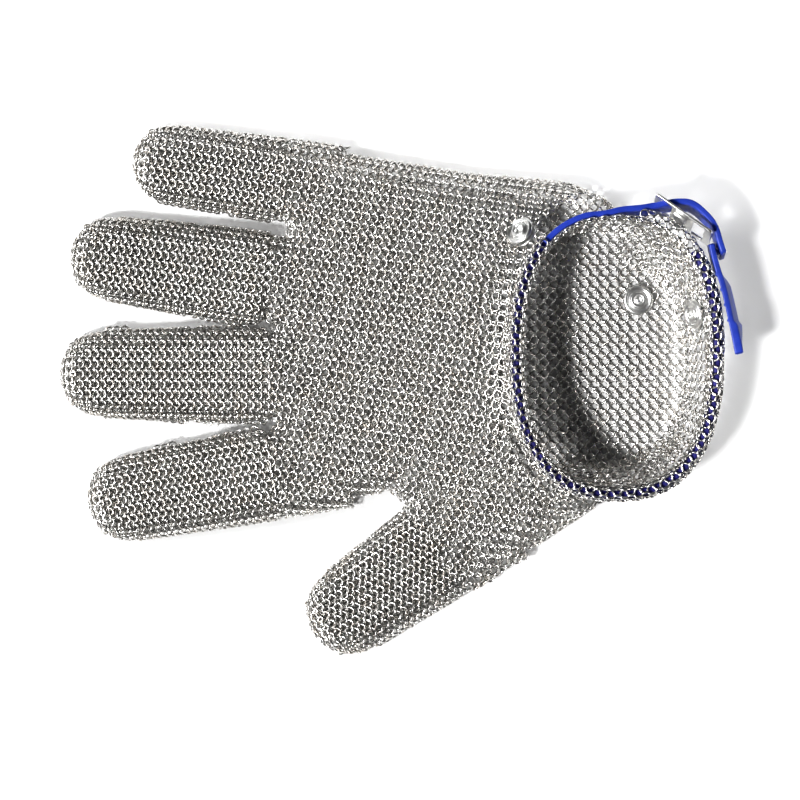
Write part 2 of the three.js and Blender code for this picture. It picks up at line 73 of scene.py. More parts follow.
HAND_OUTLINE = [
    (-43, 94.2), (-20, 89.6), (24, 82.4), (52, 79.8), (64, 78.4), (76, 73), (92, 61), (98, 40), (98, -10),
    (90, -35), (75, -43.6), (30, -73.2), (6, -66.5), (1, -43), (-4, -38.5), (-48, -47), (-48, 30), (-43, 50),
]
HAND_STATIONS = (-50, -25, 0, 22, 42, 60, 76)
HAND_HEIGHTS = (11.5, 13, 15.5, 17, 19, 20, 20)
DIGIT_HEIGHT = 11
SEAM_HEIGHT = 5.5
DIGIT_ROUNDING = 7.5
HAND_ROUNDING = 11
HAND_SLOPE = 22         # how fast the back rises from a digit's height, in from the hand's outline
HAND_SLOPE_START = 0.15     # share of that rise at the outline itself, before it is smoothed
ROUNDING_FADE = 30      # the edge's rounding grows from a digit's to the hand's over this distance

CUFF = {"x": 80, "y": 13.5, "a": 40.3, "b": 55}
CUFF_FLOOR = {"x": 71, "y": 13.5, "a": 36, "b": 47}
CUP_HEIGHTS = (0, 7, 16, 29, 46)
CUP_SHARES = (0, 0.3, 0.65, 1, 1)
ROUNDNESS = 2.4
RIM_LEFT = 38
RIM_RIGHT = 29
COLLAR_TOP = 28
COLLAR_RISE = 16
COLLAR_FADE = 11
COLLAR_SOFTNESS = 2.5   # rounds the corner where the collar meets the back
HEM_HEIGHT = 12
HEM_WIDTH = 6
HEM_START = 40          # degrees round the rim: the strap's channel runs clockwise from here
HEM_END = -230
STRAP_LEAVES = -257     # from the channel's end to here the strap lies bare in the rim
ROLL_STARTS = STRAP_LEAVES - 23     # past here the mesh rolls over the rim again

STRAP_WIDTH = 8.6
STRAP_THICKNESS = 2.2
STRAP_EXIT = [(76, 65.2), (82, 66.6), (89, 67.4), (95, 68.4)]
STRAP_ARCH = [(95.9, 68.7), (101, 69.6), (106.2, 69.7), (109.2, 68.6), (112, 66.4), (115.4, 62.8),
              (117.3, 59.2), (118.6, 54.8), (120, 50.8)]
STRAP_TAIL = [(115.4, 54.2), (116.1, 50.5), (117.6, 44.7), (119.2, 39.6), (121, 32.5), (122.6, 25.2),
              (124.2, 18), (125.2, 13.2)]
TAIL_BEND = 8           # distance along the tail
TAIL_LEAN = 2.8
BUCKLE_LEAN = 0.28
TOOTH_PITCH = 5.9
PADDLE_LENGTH = 13

SNAPS = {
    "palm_snap": ((90, 34, 2), (0, 0, 1)),
    "side_snap": ((110.6, 28.5, 11.9), (-0.88, -0.15, 0.45)),
    "back_snap": ((44.8, 58.9, 21.3), (-0.57, 0.42, 0.7)),
}

# ---- ring mesh ----

SKIN = 1.0            # depth of the middle of the mesh below its outer face
RING_RADIUS = 1.62    # to the middle of the wire
WIRE_RADIUS = 0.35
RING_STEPS = 12
WIRE_STEPS = 5
RINGS_PER_PIECE = 1500
JITTER_ANGLE = math.radians(2.2)
JITTER_PLACE = 0.04
CROTCH_FILLET = 1.2
TINY = 1e-9             # keeps a division clear of zero
LEAST_STRETCH = 0.45    # a place where the sheet is squeezed or torn more than this holds no ring
MOST_STRETCH = 1.7

rng = np.random.default_rng(7)


def smooth(t):
    t = np.clip(t, 0, 1)
    return t * t * (3 - 2 * t)


def digit_axes(digit):
    root = np.array(digit["root"], float)
    tip = np.array(digit["tip"], float)
    along = (tip - root) / np.linalg.norm(tip - root)
    across = np.array((-along[1], along[0]))
    return tip, along, across, np.linalg.norm(tip - root)


def digit_local(digit, points):
    """Distance back from the tip and sideways distance of points in plan."""
    tip, along, across, _ = digit_axes(digit)
    offset = points - tip
    return -offset @ along, offset @ across


def digit_depth(digit, points):
    """How far points lie inside a digit's outline, negative outside."""
    back, side = digit_local(digit, points)
    _, _, _, length = digit_axes(digit)
    root_width, tip_width = digit["widths"]
    half = (tip_width + (root_width - tip_width) * np.clip(back / TAPER_LENGTH, 0, 1)) / 2
    radius = tip_width / 2
    straight = half - np.abs(side)
    rounded = radius - np.hypot(radius - back, side)
    depth = np.where(back > radius, straight, rounded)
    return np.minimum(depth, length - back)


def polygon_depth(corners, points):
    """Signed distance inside a polygon."""
    corners = np.array(corners, float)
    following = np.roll(corners, -1, axis=0)
    nearest = np.full(len(points), np.inf)
    inside = np.zeros(len(points), bool)
    for start, end in zip(corners, following):
        edge = end - start
        offset = points - start
        share = np.clip(offset @ edge / (edge @ edge), 0, 1)
        nearest = np.minimum(nearest, np.linalg.norm(offset - share[:, None] * edge, axis=1))
        crosses = (start[1] > points[:, 1]) != (end[1] > points[:, 1])
        rise = end[1] - start[1] if end[1] != start[1] else TINY
        inside ^= crosses & (points[:, 0] < edge[0] * (points[:, 1] - start[1]) / rise + start[0])
    return np.where(inside, nearest, -nearest)


def oval_ratio(oval, points, inset=0.0):
    """1 on the oval, less inside and more outside."""
    u = np.abs(points[:, 0] - oval["x"]) / (oval["a"] - inset)
    v = np.abs(points[:, 1] - oval["y"]) / (oval["b"] - inset)
    return (u ** ROUNDNESS + v ** ROUNDNESS) ** (1 / ROUNDNESS)


def oval_depth(oval, points):
    """Rough distance inside an oval, along the line from its middle."""
    ratio = np.maximum(oval_ratio(oval, points), 1e-6)
    reach = np.hypot(points[:, 0] - oval["x"], points[:, 1] - oval["y"])
    return reach * (1 / ratio - 1)


def oval_point(oval, degrees, inset=0.0):
    c = np.cos(np.radians(degrees))
    s = np.sin(np.radians(degrees))
    power = 2 / ROUNDNESS
    x = oval["x"] + (oval["a"] - inset) * np.sign(c) * np.abs(c) ** power
    y = oval["y"] + (oval["b"] - inset) * np.sign(s) * np.abs(s) ** power
    return np.stack([x, y], axis=-1)


def mix_oval(share):
    return {key: CUFF_FLOOR[key] + (CUFF[key] - CUFF_FLOOR[key]) * share for key in CUFF}


def rim_height(x):
    return RIM_LEFT + (RIM_RIGHT - RIM_LEFT) * (x - (CUFF["x"] - CUFF["a"])) / (2 * CUFF["a"])


FLOOR_EDGE_SHARE = 0.33     # the palm's edge lies this far on the way from the cuff's floor to its rim
FLOOR_EDGE = mix_oval(FLOOR_EDGE_SHARE)


def glove_depth(points, with_floor):
    """How far points lie inside the outline of the middle of the mesh."""
    depths = [polygon_depth(HAND_OUTLINE, points)]
    depths += [digit_depth(digit, points) for digit in DIGITS]
    if with_floor:
        depths.append(oval_depth(FLOOR_EDGE, points))
    stack = np.array(depths) / CROTCH_FILLET
    top = stack.max(axis=0)
    return CROTCH_FILLET * (top + np.log(np.exp(stack - top).sum(axis=0))) - SKIN


def sheet_height(points):
    """Height of the middle of the back's mesh, away from the glove's edges."""
    hand = np.interp(points[:, 0], HAND_STATIONS, HAND_HEIGHTS)
    share = smooth(polygon_depth(HAND_OUTLINE, points) / HAND_SLOPE + HAND_SLOPE_START)
    height = DIGIT_HEIGHT + (hand - DIGIT_HEIGHT) * share - SKIN
    outside = np.maximum(-oval_depth(CUFF, points), 0)
    collar = COLLAR_TOP - COLLAR_RISE * (1 - np.exp(-outside / COLLAR_FADE))
    return COLLAR_SOFTNESS * np.logaddexp(height / COLLAR_SOFTNESS, collar / COLLAR_SOFTNESS)


def rounding(points):
    share = smooth(polygon_depth(HAND_OUTLINE, points) / ROUNDING_FADE)
    return DIGIT_ROUNDING + (HAND_ROUNDING - DIGIT_ROUNDING) * share


OUTLINE_STEP = 0.05     # for slopes of the outline's depth
TURN_STEPS = 25         # angles tried on the sheet's turn down to the seam
TURN_SLACK = 0.6        # rings this far past the seam are still kept


def drape(points, side):
    """Where points of a flat sheet lie over the back (side 1) or under the palm (side -1), and which reach.

    Away from the outline a point keeps its place in plan. Near it the sheet turns down round an elliptical
    edge, and keeps its length along the turn.
    """
    with_floor = side < 0
    depth = glove_depth(points, with_floor)
    slopes = [
        glove_depth(points + step, with_floor) - glove_depth(points - step, with_floor)
        for step in ((OUTLINE_STEP, 0), (0, OUTLINE_STEP))
    ]
    outward = -np.stack(slopes, axis=1)
    outward /= np.maximum(np.linalg.norm(outward, axis=1), TINY)[:, None]
    turn_width = rounding(points)
    if side > 0:
        rise = sheet_height(points) - SEAM_HEIGHT
    else:
        rise = np.full(len(points), SEAM_HEIGHT - SKIN)
    past = np.maximum(turn_width - depth, 0)
    angles = np.linspace(0, math.pi / 2, TURN_STEPS)
    angle_step = angles[1] - angles[0]
    middle = (angles[1:] + angles[:-1]) / 2
    pace = np.hypot(turn_width[:, None] * np.cos(middle), rise[:, None] * np.sin(middle))
    lengths = np.concatenate([np.zeros((len(points), 1)), np.cumsum(pace * angle_step, axis=1)], axis=1)
    index = np.clip((lengths < past[:, None]).sum(axis=1), 1, len(angles) - 1)
    row = np.arange(len(points))
    before = lengths[row, index - 1]
    after = lengths[row, index]
    angle = angles[index - 1] + angle_step * np.clip((past - before) / (after - before), 0, 1)
    shift = np.where(past > 0, turn_width * np.sin(angle) - past, 0)
    plan = points + outward * shift[:, None]
    height = SEAM_HEIGHT + side * rise * np.cos(angle)
    return np.column_stack([plan, height]), past <= lengths[:, -1] + TURN_SLACK


FRAME_STEP = 0.4        # for slopes of a surface


def surface_frames(surface, s, t):
    """Places, unit vectors along and across, and the normal of a surface given by two sheet distances."""
    place, reached = surface(s, t)
    along = surface(s + FRAME_STEP, t)[0] - surface(s - FRAME_STEP, t)[0]
    across = surface(s, t + FRAME_STEP)[0] - surface(s, t - FRAME_STEP)[0]
    for difference in (along, across):
        stretch = np.linalg.norm(difference, axis=1) / (2 * FRAME_STEP)
        reached = reached & (stretch > LEAST_STRETCH) & (stretch < MOST_STRETCH)
    across /= np.maximum(np.linalg.norm(across, axis=1), TINY)[:, None]
    along -= across * (along * across).sum(axis=1)[:, None]
    along /= np.maximum(np.linalg.norm(along, axis=1), TINY)[:, None]
    normal = np.cross(along, across)
    return place, along, across, normal, reached


def lattice(s_range, t_range, s_pitch, t_pitch):
    """Rings of the 4-in-1 weave: rows half an s pitch apart.

    Every other row is moved half a t pitch and leans the other way.
    """
    rows = np.arange(math.floor(s_range[0] / s_pitch * 2), math.ceil(s_range[1] / s_pitch * 2))
    columns = np.arange(math.floor(t_range[0] / t_pitch), math.ceil(t_range[1] / t_pitch) + 1)
    row, column = np.meshgrid(rows, columns, indexing="ij")
    odd = row % 2
    s = row * s_pitch / 2
    t = (column + odd / 2) * t_pitch
    return s.ravel(), t.ravel(), np.where(odd.ravel() == 1, 1.0, -1.0)


def ring_mesh(name, place, along, across, normal, lean):
    """One mesh of rings: each lies in the plane of across and of along leaned towards the normal."""
    count = len(place)
    lean = lean + rng.normal(0, JITTER_ANGLE, count)
    swing = rng.normal(0, JITTER_ANGLE, count)
    place = place + rng.normal(0, JITTER_PLACE, (count, 3))
    first = across * np.cos(swing)[:, None] + along * np.sin(swing)[:, None]
    forward = along * np.cos(swing)[:, None] - across * np.sin(swing)[:, None]
    second = forward * np.cos(lean)[:, None] + normal * np.sin(lean)[:, None]
    axis = np.cross(first, second)
    round_angle = np.arange(RING_STEPS) * 2 * math.pi / RING_STEPS
    wire_angle = np.arange(WIRE_STEPS) * 2 * math.pi / WIRE_STEPS
    spoke = first[:, None] * np.cos(round_angle)[None, :, None]
    spoke = spoke + second[:, None] * np.sin(round_angle)[None, :, None]
    reach = RING_RADIUS + WIRE_RADIUS * np.cos(wire_angle)
    lift = WIRE_RADIUS * np.sin(wire_angle)
    points = (
        place[:, None, None]
        + spoke[:, :, None] * reach[None, None, :, None]
        + axis[:, None, None] * lift[None, None, :, None]
    )
    i = np.arange(RING_STEPS)[:, None]
    j = np.arange(WIRE_STEPS)[None, :]
    i_next = (i + 1) % RING_STEPS
    j_next = (j + 1) % WIRE_STEPS
    quads = np.stack(np.broadcast_arrays(
        i * WIRE_STEPS + j, i_next * WIRE_STEPS + j, i_next * WIRE_STEPS + j_next, i * WIRE_STEPS + j_next,
    ), axis=-1).reshape(-1, 4)
    per_ring = RING_STEPS * WIRE_STEPS
    faces = (quads[None] + (np.arange(count) * per_ring)[:, None, None]).reshape(-1, 4)
    shade = rng.integers(0, len(RING_STEELS), count)
    piece = mesh_piece(name, points.reshape(-1, 3) * MM, faces)
    for material in RING_STEELS:
        piece.data.materials.append(material)
    piece.data.polygons.foreach_set("material_index", np.repeat(shade, len(quads)).astype(np.int32))
    return piece


def mesh_piece(name, points, faces):
    """A smooth-shaded mesh object from arrays; faces all have the same number of corners."""
    faces = np.asarray(faces, np.int32)
    corners = faces.shape[1]
    mesh = bpy.data.meshes.new(name)
    mesh.vertices.add(len(points))
    mesh.vertices.foreach_set("co", np.asarray(points, np.float32).ravel())
    mesh.loops.add(faces.size)
    mesh.loops.foreach_set("vertex_index", faces.ravel())
    mesh.polygons.add(len(faces))
    mesh.polygons.foreach_set("loop_start", np.arange(len(faces), dtype=np.int32) * corners)
    mesh.polygons.foreach_set("use_smooth", np.full(len(faces), True))
    mesh.update(calc_edges=True)
    piece = bpy.data.objects.new(name, mesh)
    bpy.context.scene.collection.objects.link(piece)
    return piece


# ---- materials: four ring steels, shared out at random so that neighbours don't match exactly ----

GRAIN_SCALE = 2600
BUMP_DISTANCE = 0.0001  # metres


def new_material(name):
    material = bpy.data.materials.new(name)
    material.use_nodes = True
    nodes = material.node_tree.nodes
    return material, nodes, material.node_tree.links, nodes["Principled BSDF"]


def ring_steel(name, colour, roughness):
    """Bright drawn wire, with a fine grain that breaks up its highlights."""
    material, nodes, links, shader = new_material(name)
    shader.inputs["Base Color"].default_value = (*colour, 1)
    shader.inputs["Metallic"].default_value = 1
    shader.inputs["Roughness"].default_value = roughness
    grain = nodes.new("ShaderNodeTexNoise")
    grain.inputs["Scale"].default_value = GRAIN_SCALE
    bump = nodes.new("ShaderNodeBump")
    bump.inputs["Strength"].default_value = 0.12
    bump.inputs["Distance"].default_value = BUMP_DISTANCE
    links.new(grain.outputs["Fac"], bump.inputs["Height"])
    links.new(bump.outputs["Normal"], shader.inputs["Normal"])
    return material


def varied(name, dark, light, roughness, scale, metallic=0.0, bump_strength=0.2):
    """A surface whose colour drifts between two tones and whose roughness is cloudy."""
    material, nodes, links, shader = new_material(name)
    place = nodes.new("ShaderNodeTexCoord")
    noise = nodes.new("ShaderNodeTexNoise")
    noise.inputs["Scale"].default_value = scale
    noise.inputs["Detail"].default_value = 4
    links.new(place.outputs["Object"], noise.inputs["Vector"])
    ramp = nodes.new("ShaderNodeValToRGB")
    ramp.color_ramp.elements[0].position = 0.35
    ramp.color_ramp.elements[0].color = (*dark, 1)
    ramp.color_ramp.elements[1].position = 0.65
    ramp.color_ramp.elements[1].color = (*light, 1)
    links.new(noise.outputs["Fac"], ramp.inputs["Fac"])
    links.new(ramp.outputs["Color"], shader.inputs["Base Color"])
    spread = nodes.new("ShaderNodeMapRange")
    spread.inputs["To Min"].default_value = roughness[0]
    spread.inputs["To Max"].default_value = roughness[1]
    links.new(noise.outputs["Fac"], spread.inputs["Value"])
    links.new(spread.outputs["Result"], shader.inputs["Roughness"])
    shader.inputs["Metallic"].default_value = metallic
    fine = nodes.new("ShaderNodeTexNoise")
    fine.inputs["Scale"].default_value = scale * 6
    links.new(place.outputs["Object"], fine.inputs["Vector"])
    bump = nodes.new("ShaderNodeBump")
    bump.inputs["Strength"].default_value = bump_strength
    bump.inputs["Distance"].default_value = BUMP_DISTANCE
    links.new(fine.outputs["Fac"], bump.inputs["Height"])
    links.new(bump.outputs["Normal"], shader.inputs["Normal"])
    return material


RING_STEELS = [
    ring_steel("ring_steel_pale", (0.84, 0.83, 0.81), 0.24),
    ring_steel("ring_steel_mid", (0.76, 0.75, 0.73), 0.28),
    ring_steel("ring_steel_dark", (0.64, 0.63, 0.61), 0.30),
    ring_steel("ring_steel_warm", (0.76, 0.73, 0.69), 0.26),
]
FITTING_STEEL = varied("fitting_steel", (0.84, 0.84, 0.83), (0.90, 0.90, 0.89), (0.26, 0.38), 300,
                       metallic=1.0, bump_strength=0.08)
BLUE_RUBBER = varied("blue_rubber", (0.032, 0.065, 0.38), (0.042, 0.08, 0.46), (0.32, 0.45), 220)
# A darker copy of the blue rubber for the strap inside the hem: painted shade, in place of the rings' shadow
# over it
PAINTED_SHADE_RUBBER = varied("blue_rubber_painted_shade", (0.030, 0.027, 0.16), (0.040, 0.036, 0.22), (0.45, 0.6), 220)


# ---- the mesh, sheet by sheet ----

LINK_REACH = 3.3        # neighbours are looked for this far from a ring's middle
FEWEST_LINKS = 3        # a ring needs more than this many places within reach, its own included


def linked(place):
    """Which rings have enough neighbours to hang on."""
    tree = KDTree(len(place))
    for number, spot in enumerate(place):
        tree.insert(spot, number)
    tree.balance()
    return np.array([len(tree.find_range(spot, LINK_REACH)) > FEWEST_LINKS for spot in place])


def lay_rings(name, surface, rings, keep, lean, body=None):
    """Rings of a lattice laid on a surface, in pieces small enough to export whole.

    With no body given, the pieces are left unattached.
    """
    s, t, way = rings
    place, along, across, normal, reached = surface_frames(surface, s, t)
    order = np.flatnonzero(reached & keep(s, t, place))
    order = order[linked(place[order])]
    parts = math.ceil(len(order) / RINGS_PER_PIECE)
    order = order[np.argsort(place[order, 1], kind="stable")]
    pieces = []
    for number, chosen in enumerate(np.array_split(order, parts)):
        label = name if parts == 1 else f"{name}_{number + 1}"
        piece = ring_mesh(label, place[chosen], along[chosen], across[chosen], normal[chosen],
                          way[chosen] * lean)
        if body:
            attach(piece, body)
        pieces.append(piece)
    return pieces


def digit_sheet(digit, side):
    tip, along, across, _ = digit_axes(digit)

    def surface(s, t):
        return drape(tip - np.outer(s, along) + np.outer(t, across), side)
    return surface


def deepest_in(digit, points):
    """Whether points in plan lie at least as deep in this digit as in any other."""
    own = digit_depth(digit, points)
    return np.all([own >= digit_depth(other, points) for other in DIGITS], axis=0)


CUT_MARGIN = 1.5        # a cut reaches this far past each side of its digit


def past_digit_ends(place):
    """Whether a place in plan lies on the hand, beyond every digit's cut."""
    on_hand = np.ones(len(place), bool)
    for digit in DIGITS:
        back, side = digit_local(digit, place[:, :2])
        width = digit["widths"][0] / 2 + CUT_MARGIN
        on_hand &= ~((back < digit["cut"]) & (np.abs(side) < width))
    return on_hand


DIGIT_S_PITCH = 2.78
DIGIT_T_PITCH = 3.79
DIGIT_LEAN = math.radians(25)
HAND_S_PITCH = 3.0
HAND_T_PITCH = 4.0
HAND_LEAN = math.radians(27)
HAND_TURN = math.radians(-9)
FLOOR_S_PITCH = 3.77
FLOOR_T_PITCH = 4.2
FLOOR_LEAN = math.radians(17)
EDGE_TURN = 9           # extra width of a digit's flat sheet, for the turn down to the seam
TIP_TURN = 6            # and extra length at its tip
PALM_SHIFT = 0.9        # the palm side's rings are set off sideways from the back's

for digit in DIGITS:
    name = digit["name"]
    length = digit["cut"]
    reach = digit["widths"][0] / 2 + EDGE_TURN
    base_end = (digit["knuckle"] + digit["middle"]) / 2
    rings = lattice((-TIP_TURN, length), (-reach, reach), DIGIT_S_PITCH, DIGIT_T_PITCH)
    pieces = {"base": [], "tip": []}
    for side, label in ((1, "back"), (-1, "palm")):
        surface = digit_sheet(digit, side)

        def on_digit(s, t, place):
            back, _ = digit_local(digit, place[:, :2])
            return (back < length) & (back > -1) & deepest_in(digit, place[:, :2])

        def on_tip(s, t, place):
            back, _ = digit_local(digit, place[:, :2])
            return on_digit(s, t, place) & (back < base_end)

        def on_base(s, t, place):
            back, _ = digit_local(digit, place[:, :2])
            return on_digit(s, t, place) & (back >= base_end)

        shifted = (rings[0], rings[1] + (side < 0) * PALM_SHIFT, rings[2])
        pieces["tip"] += lay_rings(f"{name}_tip_{label}", surface, shifted, on_tip, DIGIT_LEAN)
        pieces["base"] += lay_rings(f"{name}_base_{label}", surface, shifted, on_base, DIGIT_LEAN)
    for piece in pieces["base"]:
        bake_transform(piece)
    for piece in pieces["tip"]:
        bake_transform(piece)
    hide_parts(f"{name}_base")
    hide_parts(f"{name}_tip")


def turned_sheet(angle, side):
    """A flat sheet turned about the vertical, laid over the back or under the palm."""
    direction = np.array((math.cos(angle), math.sin(angle)))
    sideways = np.array((-direction[1], direction[0]))

    def surface(s, t):
        return drape(np.outer(s, direction) + np.outer(t, sideways), side)
    return surface


SNAP_CLEARANCE = 4.6


def clear_of_snaps(place):
    """Rings are left out where a snap's post passes through the mesh."""
    clear = np.ones(len(place), bool)
    for centre, _ in SNAPS.values():
        clear &= np.linalg.norm(place - centre, axis=1) > SNAP_CLEARANCE
    return clear


BARE_MARGIN_X = 1
BARE_MARGIN_Z = 0.5


def over_bare_strap(place):
    """Whether a place would hide the strap past the end of the hem."""
    past_hem = (place[:, 0] > oval_point(CUFF, HEM_END)[0] - BARE_MARGIN_X) & (place[:, 1] > CUFF["y"])
    return past_hem & (place[:, 2] > rim_height(place[:, 0]) - HEM_HEIGHT - BARE_MARGIN_Z)


def on_back(s, t, place):
    outside_rim = oval_ratio(CUFF, place[:, :2], HEM_WIDTH / 2) > 1
    return past_digit_ends(place) & outside_rim & clear_of_snaps(place) & ~over_bare_strap(place)


def on_palm(s, t, place):
    return past_digit_ends(place) & clear_of_snaps(place)


# Flat sheets that are big enough for the hand, as ranges of s and t
BACK_SPAN = ((-90, 170), (-120, 140))
PALM_SPAN = ((-60, 125), (-90, 110))

back_rings = lattice(*BACK_SPAN, HAND_S_PITCH, HAND_T_PITCH)
back_pieces = lay_rings("back_rings", turned_sheet(HAND_TURN, 1), back_rings, on_back, HAND_LEAN, "hand")
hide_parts("back_panel")
palm_rings = lattice(*PALM_SPAN, FLOOR_S_PITCH, FLOOR_T_PITCH)
palm_pieces = lay_rings("palm_rings", turned_sheet(0, -1), palm_rings, on_palm, FLOOR_LEAN, "hand")
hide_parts("palm_panel")


# ---- the cuff: hoops of rings up the wall, then over the rim and down inside ----

RIM_RUN_DEGREES = np.linspace(HEM_START, HEM_START - 360, 1500)
RIM_RUN = np.concatenate([[0], np.cumsum(np.linalg.norm(
    np.diff(oval_point(CUFF, RIM_RUN_DEGREES, HEM_WIDTH / 2), axis=0), axis=1))])
RIM_LENGTH = RIM_RUN[-1]
HEM_LENGTH = np.interp(HEM_START - HEM_END, HEM_START - RIM_RUN_DEGREES, RIM_RUN)
BARE_LENGTH = np.interp(HEM_START - ROLL_STARTS, HEM_START - RIM_RUN_DEGREES, RIM_RUN)
RIM_ROLL = 3.5          # past the strap the mesh still rolls over the rim, this far down the outside
INNER_START = 1.5       # beside the bare strap the rings start this far down the inside


def rim_degrees(run):
    """Degrees at a distance clockwise round the rim from where the hem starts."""
    turns = np.floor(run / RIM_LENGTH)
    return np.interp(run - turns * RIM_LENGTH, RIM_RUN, RIM_RUN_DEGREES) - 360 * turns


def flared(floor):
    """A wall that flares from a floor oval to the rim, by height and by distance round the rim."""
    def surface(s, t):
        degrees = rim_degrees(t)
        share = np.interp(s, CUP_HEIGHTS, CUP_SHARES)[:, None]
        plan = oval_point(floor, degrees, SKIN) * (1 - share) + oval_point(CUFF, degrees, SKIN) * share
        return np.column_stack([plan, s]), np.ones(len(s), bool)
    return surface


SLOPE_FLOOR = {"x": 71, "y": 10.5, "a": 36, "b": 37}
SLOPE_START = 2.2           # height of the inner slope's lowest rings
SLOPE_START_AT_HAND = 15    # and on the hand's side, where it hangs as a skirt
WALL_GAP = 2.2              # the outer wall holds no ring nearer than this to the inner slope
cup_wall = flared(CUFF_FLOOR)
cup_slope = flared(SLOPE_FLOOR)


HEM_OUTER = 0.9
HEM_INNER = 5.1
HEM_ROUND = 2.2
HEM_PEAK = 0.6          # the top of the fold is this far below the rim's height
HEM_SECTION = [(HEM_OUTER, HEM_HEIGHT), (HEM_OUTER, HEM_ROUND)]
HEM_SECTION += [
    (HEM_WIDTH / 2 - (HEM_WIDTH / 2 - HEM_OUTER) * math.cos(a),
     HEM_ROUND - (HEM_ROUND - HEM_PEAK) * math.sin(a))
    for a in np.linspace(0, math.pi, 13)[1:-1]
]
HEM_SECTION += [(HEM_INNER, HEM_ROUND), (HEM_INNER, HEM_HEIGHT)]
HEM_SECTION = np.array(HEM_SECTION)
HEM_RUN = np.concatenate([[0], np.cumsum(np.linalg.norm(np.diff(HEM_SECTION, axis=0), axis=1))])
HEM_TOP = HEM_RUN[-1] / 2


def hem(s, t):
    """The fold over the rim, by distance up the outside, over and down the inside, and by distance round."""
    degrees = rim_degrees(t)
    inset = np.interp(s, HEM_RUN, HEM_SECTION[:, 0])
    drop = np.interp(s, HEM_RUN, HEM_SECTION[:, 1])
    outer = oval_point(CUFF, degrees, 0)
    inner = oval_point(CUFF, degrees, HEM_WIDTH)
    plan = outer + (inner - outer) * (inset / HEM_WIDTH)[:, None]
    return np.column_stack([plan, rim_height(outer[:, 0]) - drop]), np.ones(len(s), bool)


HAND_SLACK = 0.4        # rings sunk this little into the hand's surface still count as outside it


def outside_hand(place):
    """Whether a place is clear of the room inside the hand and the collar."""
    points = place[:, :2]
    depth = glove_depth(points, False)
    width = rounding(points)
    share = np.clip(depth / width, 0, 1)
    top = SEAM_HEIGHT + (sheet_height(points) - SEAM_HEIGHT) * np.sqrt(1 - (1 - share) ** 2)
    return (depth < HAND_SLACK) | (place[:, 2] > top - HAND_SLACK)


HEM_OVERLAP = 1         # the walls' rings go on this far up behind the hem
SKIRT_START = 0.1       # the skirt at the hand starts and fades in at these cosines
SKIRT_FADE = 0.5


def below_hem(place):
    return place[:, 2] < rim_height(place[:, 0]) - HEM_HEIGHT + HEM_OVERLAP


def on_wall(s, t, place):
    apart = np.linalg.norm(cup_slope(s, t)[0] - place, axis=1) > WALL_GAP
    return apart & below_hem(place) & outside_hand(place) & clear_of_snaps(place)


def on_slope(s, t, place):
    towards_hand = smooth((-np.cos(np.radians(rim_degrees(t))) - SKIRT_START) / SKIRT_FADE)
    start = SLOPE_START + (SLOPE_START_AT_HAND - SLOPE_START) * towards_hand
    return (place[:, 2] > start) & below_hem(place) & clear_of_snaps(place)


def on_hem(s, t, place):
    channel = t <= HEM_LENGTH
    inside = s > HEM_TOP + INNER_START
    rolled = (t > BARE_LENGTH) & (s > HEM_TOP - RIM_ROLL)
    return (channel | inside | rolled) & outside_hand(place)


WALL_BOTTOM = 5.4
WALL_TOP = 28
SLOPE_BOTTOM = 1
WALL_LEAN = math.radians(22)
HEM_LEAN = math.radians(15)
WALL_S_PITCH = 3.1
HEM_S_PITCH = 2.5
# Pitches round the rim are near these, so that a whole number goes round
WALL_T_AIM = 4.35
HEM_T_AIM = 5.1
WALL_T_PITCH = RIM_LENGTH / round(RIM_LENGTH / WALL_T_AIM)
HEM_T_PITCH = RIM_LENGTH / round(RIM_LENGTH / HEM_T_AIM)

wall_round = (0, RIM_LENGTH - WALL_T_PITCH)
hem_round = (0, RIM_LENGTH - HEM_T_PITCH)
wall_rings = lattice((WALL_BOTTOM, WALL_TOP), wall_round, WALL_S_PITCH, WALL_T_PITCH)
wall_pieces = lay_rings("cuff_wall_rings", cup_wall, wall_rings, on_wall, WALL_LEAN, "hand")
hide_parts("cuff_wall")
slope_rings = lattice((SLOPE_BOTTOM, WALL_TOP), wall_round, WALL_S_PITCH, WALL_T_PITCH)
lay_rings("cuff_slope_rings", cup_slope, slope_rings, on_slope, WALL_LEAN, "hand")
hem_rings = lattice((0, HEM_RUN[-1]), hem_round, HEM_S_PITCH, HEM_T_PITCH)
hem_pieces = lay_rings("hem_rings", hem, hem_rings, on_hem, HEM_LEAN, "hand")
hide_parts("cuff_hem")


# ---- strap ----

def smooth_route(points, spacing=1.0):
    """A Catmull-Rom curve through plan points, sampled evenly, with the distance run."""
    p = np.array(points, float)
    p = np.vstack([2 * p[0] - p[1], p, 2 * p[-1] - p[-2]])
    samples = []
    for i in range(1, len(p) - 2):
        for u in np.linspace(0, 1, 12, endpoint=False):
            samples.append(0.5 * (2 * p[i] + (p[i + 1] - p[i - 1]) * u
                                  + (2 * p[i - 1] - 5 * p[i] + 4 * p[i + 1] - p[i + 2]) * u ** 2
                                  + (3 * p[i] - p[i - 1] - 3 * p[i + 1] + p[i + 2]) * u ** 3))
    samples.append(p[-2])
    samples = np.array(samples)
    run = np.concatenate([[0], np.cumsum(np.linalg.norm(np.diff(samples, axis=0), axis=1))])
    places = np.linspace(0, run[-1], max(2, math.ceil(run[-1] / spacing)) + 1)
    return np.column_stack([np.interp(places, run, samples[:, k]) for k in (0, 1)]), places


CORNER = 0.55
CORNER_STEPS = 4


def rounded_section(left, right, width):
    """A rounded rectangle as (left offset, height) pairs, from -right to left and 0 down to -width."""
    corners = ((left, 0, 0), (-right, 0, 90), (-right, -width, 180), (left, -width, 270))
    section = []
    for x, y, start in corners:
        cx = x - math.copysign(CORNER, x)
        cy = y - CORNER if y == 0 else y + CORNER
        for k in range(CORNER_STEPS + 1):
            a = math.radians(start + 90 * k / CORNER_STEPS)
            section.append((cx + CORNER * math.cos(a), cy + CORNER * math.sin(a)))
    return section


